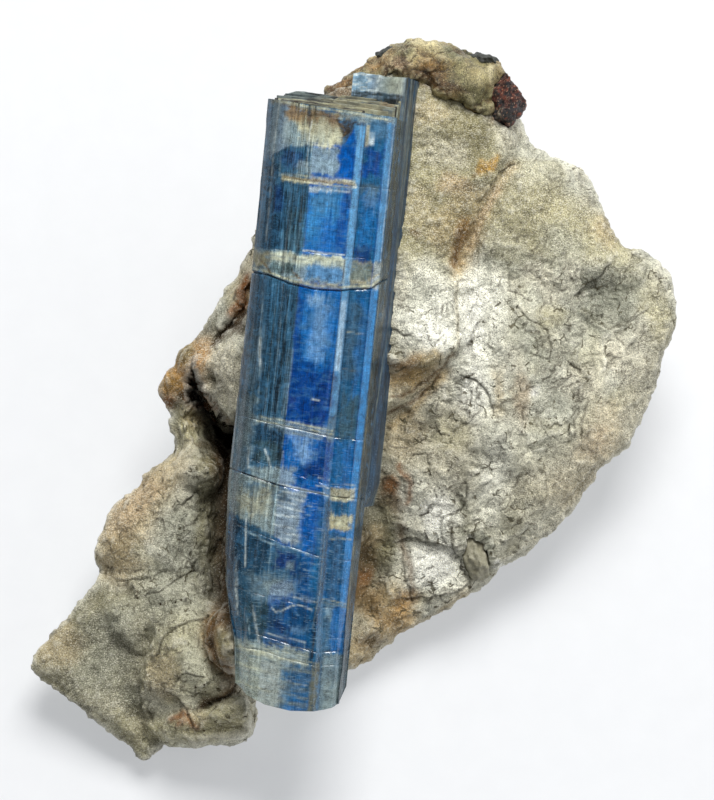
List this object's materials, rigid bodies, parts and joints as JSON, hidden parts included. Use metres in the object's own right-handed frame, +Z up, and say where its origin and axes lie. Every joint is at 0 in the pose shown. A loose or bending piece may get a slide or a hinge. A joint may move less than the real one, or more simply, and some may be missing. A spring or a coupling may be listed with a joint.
{
  "type": "kyanite specimen",
  "caption": "Long blue kyanite crystal lying across a broken slab of silvery mica schist, with a knobbly quartz cap, a garnet and dark grains along its top edge.",
  "frame": {"origin": "bottom centre of the specimen's box, on the surface that it rests on", "axes": "+Z up, +Y towards the quartz cap and the crystal's upper end, +X towards the slab's broad side"},
  "size_m": [0.0642, 0.0692, 0.0319],
  "materials": {
    "mica_schist": "silvery, granular, glittering with fine mica, with rust-brown joints",
    "kyanite": "vitreous to pearly, finely striated, clear to cloudy blue",
    "quartz": "waxy, translucent cream with brown stains",
    "garnet": "rough, dark red-brown with glints",
    "brown_grain": "dull, finely pitted",
    "black_grain": "black-green with satin faces"
  },
  "bodies": {
    "root": {"schist_slab": "mica_schist", "kyanite_crystal": "kyanite", "quartz_cap": "quartz", "garnet": "garnet", "brown_grain": "brown_grain", "black_grain_1": "black_grain", "black_grain_2": "black_grain"}
  },
  "joints": []
}
